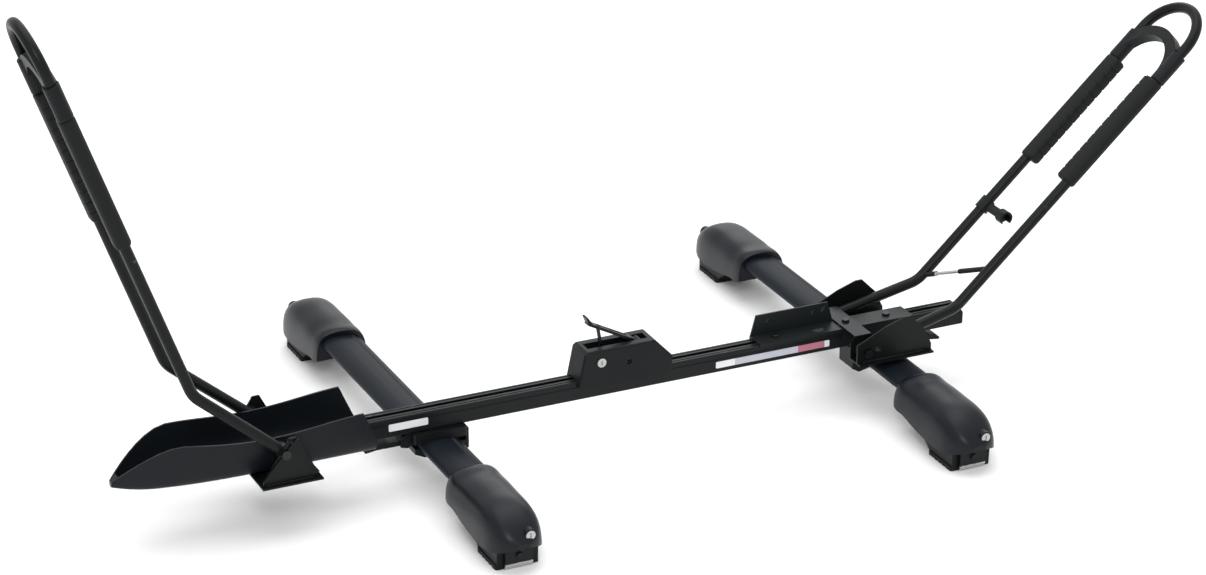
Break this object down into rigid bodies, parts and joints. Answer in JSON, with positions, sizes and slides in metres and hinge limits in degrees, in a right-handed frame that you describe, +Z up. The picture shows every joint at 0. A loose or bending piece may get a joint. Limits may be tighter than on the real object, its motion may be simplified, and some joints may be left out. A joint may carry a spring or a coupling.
{
  "type": "roof bicycle carrier",
  "caption": "Roof bicycle carrier with two folding tyre arms, a nose cradle and a sliding carriage on a rail, clamped to a pair of crossbars with feet.",
  "frame": {"origin": "middle of the carrier's length and of the crossbars' span, at the roof plane under the four rubber feet", "axes": "+X along the rail from nose to tail, +Y along the crossbars to the vehicle's right, +Z up"},
  "size_m": [2.1279, 1.01, 0.9086],
  "materials": {
    "bar_coat": "satin black coating with a faint blue cast over an aluminium extrusion",
    "rail_coat": "satin dark grey coating over an aluminium extrusion",
    "powder_coat": "fine-grained black powder coat over steel",
    "moulded_black": "fine spark-eroded grain",
    "cover_black": "smooth satin to gloss",
    "pad_rubber": "matt with moulded notches",
    "zinc_steel": "bright zinc plating",
    "lock_metal": "turned bright face",
    "bush_plastic": "self-lubricating plain bearing"
  },
  "bodies": {
    "rack": {"rail": "rail_coat", "rail_end_cap": "moulded_black", "nose_cradle": "moulded_black", "front_pivot_bracket": "powder_coat", "front_bracket_bolts": "zinc_steel", "front_pivot_pins": "zinc_steel", "latch_block": "moulded_black", "latch_block_bolt": "zinc_steel", "latch_hinge_pin": "zinc_steel", "clamp_bolts": "zinc_steel", "clamp_pins": "zinc_steel", "front_crossbar": "bar_coat", "front_clamp_saddle": "moulded_black", "rear_crossbar": "bar_coat", "rear_clamp_saddle": "moulded_black", "front_left_foot_base": "moulded_black", "front_left_foot_cover": "cover_black", "front_left_roof_pad": "pad_rubber", "front_right_foot_base": "moulded_black", "front_right_foot_cover": "cover_black", "front_right_roof_pad": "pad_rubber", "rear_left_foot_base": "moulded_black", "rear_left_foot_cover": "cover_black", "rear_left_roof_pad": "pad_rubber", "rear_right_foot_base": "moulded_black", "rear_right_foot_cover": "cover_black", "rear_right_roof_pad": "pad_rubber"},
    "carriage_body": {"carriage": "powder_coat", "carriage_bolts": "zinc_steel", "rear_pivot_bracket": "powder_coat", "rear_pivot_pins": "zinc_steel"},
    "front_arm": {"front_arm_tube": "powder_coat", "front_arm_bushes": "bush_plastic", "front_arm_left_pad": "pad_rubber", "front_arm_right_pad": "pad_rubber", "front_arm_yoke": "moulded_black"},
    "rear_arm": {"rear_arm_tube": "powder_coat", "rear_arm_bushes": "bush_plastic", "rear_arm_left_pad": "pad_rubber", "rear_arm_right_pad": "pad_rubber", "rear_arm_yoke": "moulded_black", "stow_clip": "moulded_black", "brace_rod": "powder_coat"},
    "lever_body": {"latch_lever": "powder_coat", "latch_link_pin": "zinc_steel"},
    "link_body": {"latch_link": "zinc_steel"},
    "latch_lock_body": {"latch_lock": "lock_metal"},
    "front_handle_body": {"front_clamp_handle": "moulded_black"},
    "front_jaw_body": {"front_clamp_jaw": "moulded_black"},
    "rear_handle_body": {"rear_clamp_handle": "moulded_black"},
    "rear_jaw_body": {"rear_clamp_jaw": "moulded_black"},
    "front_left_lock_body": {"front_left_foot_lock": "lock_metal"},
    "front_left_hook_body": {"front_left_door_hook": "zinc_steel"},
    "front_right_lock_body": {"front_right_foot_lock": "lock_metal"},
    "front_right_hook_body": {"front_right_door_hook": "zinc_steel"},
    "rear_left_lock_body": {"rear_left_foot_lock": "lock_metal"},
    "rear_left_hook_body": {"rear_left_door_hook": "zinc_steel"},
    "rear_right_lock_body": {"rear_right_foot_lock": "lock_metal"},
    "rear_right_hook_body": {"rear_right_door_hook": "zinc_steel"}
  },
  "joints": [
    {"name": "carriage_slide", "type": "slide", "parent": "rack", "child": "carriage_body", "axis": [1, 0, 0], "range_m": [-0.1, 0.05]},
    {"name": "front_arm_fold", "type": "hinge", "parent": "rack", "child": "front_arm", "pos_m": [-0.68558, -0.132, 0.145], "axis": [0, 1, 0], "range_deg": [-30, 109]},
    {"name": "rear_arm_fold", "type": "hinge", "parent": "carriage_body", "child": "rear_arm", "pos_m": [0.37842, -0.132, 0.117], "axis": [0, -1, 0], "range_deg": [-10, 137]},
    {"name": "latch_lever_swing", "type": "hinge", "parent": "rack", "child": "lever_body", "pos_m": [-0.01958, -0.132, 0.182], "axis": [0, 1, 0], "range_deg": [-21, 60]},
    {"name": "latch_link_swing", "type": "hinge", "parent": "lever_body", "child": "link_body", "pos_m": [-0.09374, -0.132, 0.22144], "axis": [0, 1, 0], "range_deg": [-44, 55]},
    {"name": "latch_lock_turn", "type": "hinge", "parent": "rack", "child": "latch_lock_body", "pos_m": [-0.09858, -0.159, 0.167], "axis": [0, -1, 0], "range_deg": [0, 90]},
    {"name": "front_handle_swing", "type": "hinge", "parent": "rack", "child": "front_handle_body", "pos_m": [-0.45008, -0.132, 0.084], "axis": [0, -1, 0], "range_deg": [0, 85]},
    {"name": "front_jaw_drop", "type": "slide", "parent": "rack", "child": "front_jaw_body", "axis": [0, 0, -1], "range_m": [0, 0.0045]},
    {"name": "rear_handle_swing", "type": "hinge", "parent": "rack", "child": "rear_handle_body", "pos_m": [0.49492, -0.132, 0.084], "axis": [0, 1, 0], "range_deg": [0, 85]},
    {"name": "rear_jaw_drop", "type": "slide", "parent": "rack", "child": "rear_jaw_body", "axis": [0, 0, -1], "range_m": [0, 0.0045]},
    {"name": "front_left_lock_turn", "type": "hinge", "parent": "rack", "child": "front_left_lock_body", "pos_m": [-0.38058, -0.497, 0.064], "axis": [0, -1, 0], "range_deg": [0, 90]},
    {"name": "front_left_hook_slide", "type": "slide", "parent": "rack", "child": "front_left_hook_body", "axis": [0, -1, 0], "range_m": [0, 0.006]},
    {"name": "front_right_lock_turn", "type": "hinge", "parent": "rack", "child": "front_right_lock_body", "pos_m": [-0.40658, 0.497, 0.064], "axis": [0, 1, 0], "range_deg": [0, 90]},
    {"name": "front_right_hook_slide", "type": "slide", "parent": "rack", "child": "front_right_hook_body", "axis": [0, 1, 0], "range_m": [0, 0.006]},
    {"name": "rear_left_lock_turn", "type": "hinge", "parent": "rack", "child": "rear_left_lock_body", "pos_m": [0.45142, -0.497, 0.064], "axis": [0, -1, 0], "range_deg": [0, 90]},
    {"name": "rear_left_hook_slide", "type": "slide", "parent": "rack", "child": "rear_left_hook_body", "axis": [0, -1, 0], "range_m": [0, 0.006]},
    {"name": "rear_right_lock_turn", "type": "hinge", "parent": "rack", "child": "rear_right_lock_body", "pos_m": [0.42542, 0.497, 0.064], "axis": [0, 1, 0], "range_deg": [0, 90]},
    {"name": "rear_right_hook_slide", "type": "slide", "parent": "rack", "child": "rear_right_hook_body", "axis": [0, 1, 0], "range_m": [0, 0.006]}
  ],
  "couplings": [
    {"joint": "front_jaw_drop", "follows": "front_handle_swing", "m_per_rad": 0.003},
    {"joint": "rear_jaw_drop", "follows": "rear_handle_swing", "m_per_rad": 0.003}
  ]
}
